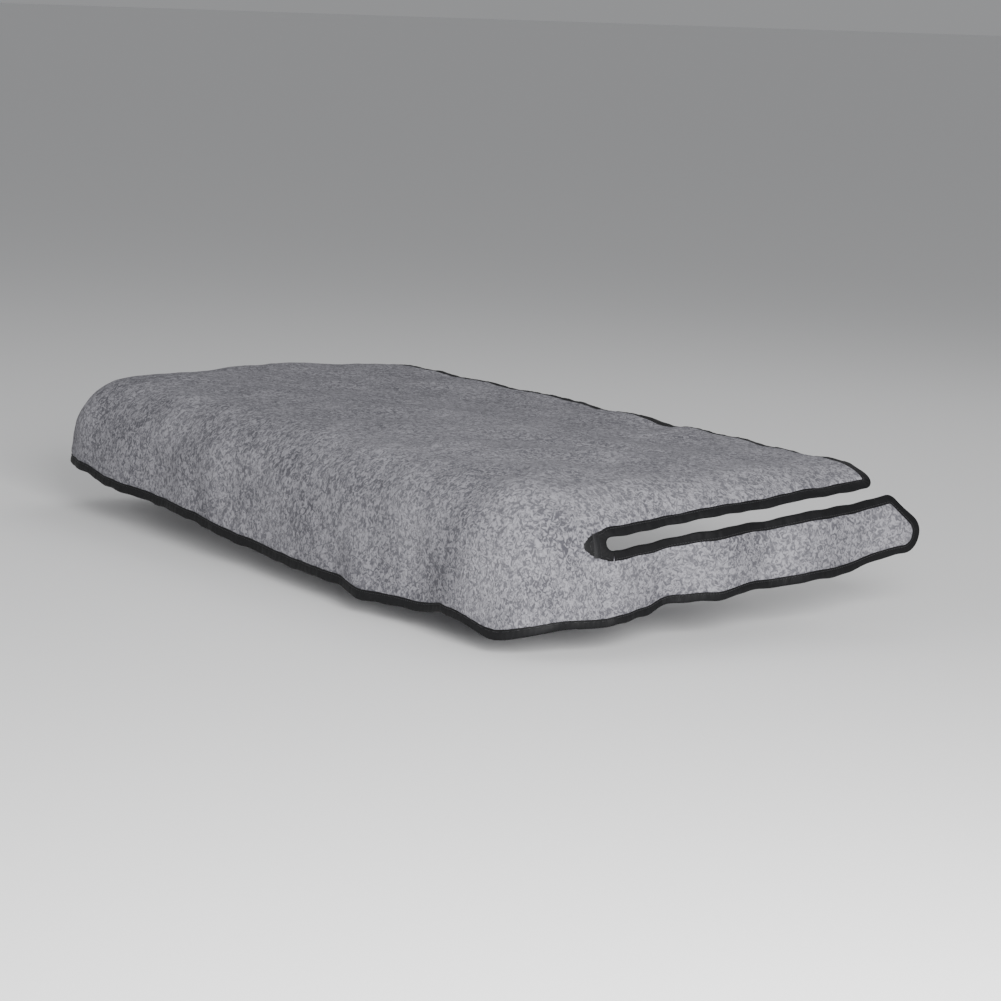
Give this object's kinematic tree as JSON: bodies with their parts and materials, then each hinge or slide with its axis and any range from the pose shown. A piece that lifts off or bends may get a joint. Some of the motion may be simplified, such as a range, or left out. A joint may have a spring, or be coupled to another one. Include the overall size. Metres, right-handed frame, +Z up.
{
  "type": "golf cart seat towel",
  "caption": "Terry towel draped over a golf cart bench seat: flat panel, hanging front, loose end flaps outside open-ended armrest slits, bound edges.",
  "frame": {"origin": "middle of the seat panel's flat underside, where it rests on the cushion", "axes": "+X along the bench to its right end, -Y to the front, +Z up out of the seat"},
  "size_m": [1.1202, 0.5842, 0.1629],
  "materials": {
    "grey_terry": "looped terry pile, matt, mottled mid grey",
    "black_tape": "woven binding tape, folded over the edge, faint satin",
    "black_thread": "twisted sewing thread",
    "white_label": "woven satin label, blank"
  },
  "bodies": {
    "seat": {"seat_panel": "grey_terry", "rear_binding": "black_tape", "rear_needle_thread": "black_thread", "rear_bobbin_thread": "black_thread", "slit_left_binding": "black_tape", "slit_left_needle_thread": "black_thread", "slit_left_bobbin_thread": "black_thread", "slit_right_binding": "black_tape", "slit_right_needle_thread": "black_thread", "slit_right_bobbin_thread": "black_thread", "front_corner_left": "grey_terry", "corner_left_binding": "black_tape", "corner_left_needle_thread": "black_thread", "corner_left_bobbin_thread": "black_thread", "bar_tack_left": "black_thread", "front_corner_right": "grey_terry", "corner_right_binding": "black_tape", "corner_right_needle_thread": "black_thread", "corner_right_bobbin_thread": "black_thread", "bar_tack_right": "black_thread"},
    "front": {"front_drop": "grey_terry", "front_binding": "black_tape", "front_needle_thread": "black_thread", "front_bobbin_thread": "black_thread"},
    "flap_left": {"end_flap_left": "grey_terry", "flap_left_binding": "black_tape", "flap_left_needle_thread": "black_thread", "flap_left_bobbin_thread": "black_thread", "care_label": "white_label"},
    "flap_right": {"end_flap_right": "grey_terry", "flap_right_binding": "black_tape", "flap_right_needle_thread": "black_thread", "flap_right_bobbin_thread": "black_thread"}
  },
  "joints": [
    {"name": "front_lift", "type": "hinge", "parent": "seat", "child": "front", "pos_m": [0, -0.225, 0.005], "axis": [-1, 0, 0], "range_deg": [0, 90]},
    {"name": "flap_left_fold", "type": "hinge", "parent": "seat", "child": "flap_left", "pos_m": [-0.55962, -0.175, -0.11333], "axis": [0.0698, 0, 0.9976], "range_deg": [0, 120]},
    {"name": "flap_right_fold", "type": "hinge", "parent": "seat", "child": "flap_right", "pos_m": [0.56255, -0.175, -0.15529], "axis": [0.0698, 0, -0.9976], "range_deg": [0, 120]}
  ]
}
